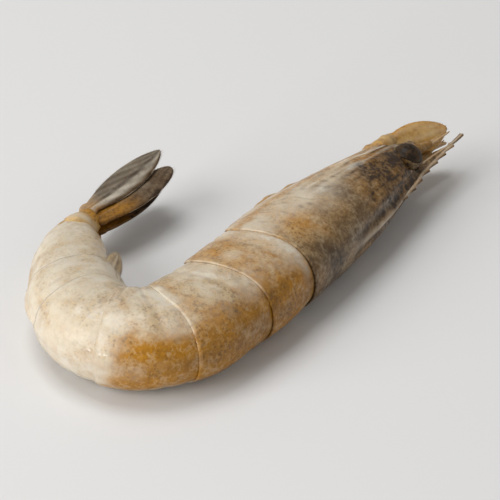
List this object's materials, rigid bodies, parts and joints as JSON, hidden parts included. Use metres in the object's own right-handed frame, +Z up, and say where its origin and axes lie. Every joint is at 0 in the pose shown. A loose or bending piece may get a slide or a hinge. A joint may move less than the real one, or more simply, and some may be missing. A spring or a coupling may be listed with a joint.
{
  "type": "raw prawn",
  "caption": "Whole raw prawn with its head and shell on, curled towards its belly and lying on its side, tail fan folded.",
  "frame": {"origin": "middle of the underside of the bounding box", "axes": "+X the way the head points, -Y the back, +Y the belly side, +Z up, out of the prawn's left side"},
  "size_m": [0.097, 0.0478, 0.0146],
  "materials": {
    "raw_shell": "wet translucent raw shell, sandy grey with ochre edges"
  },
  "bodies": {
    "root": {"prawn": "raw_shell"}
  },
  "joints": []
}
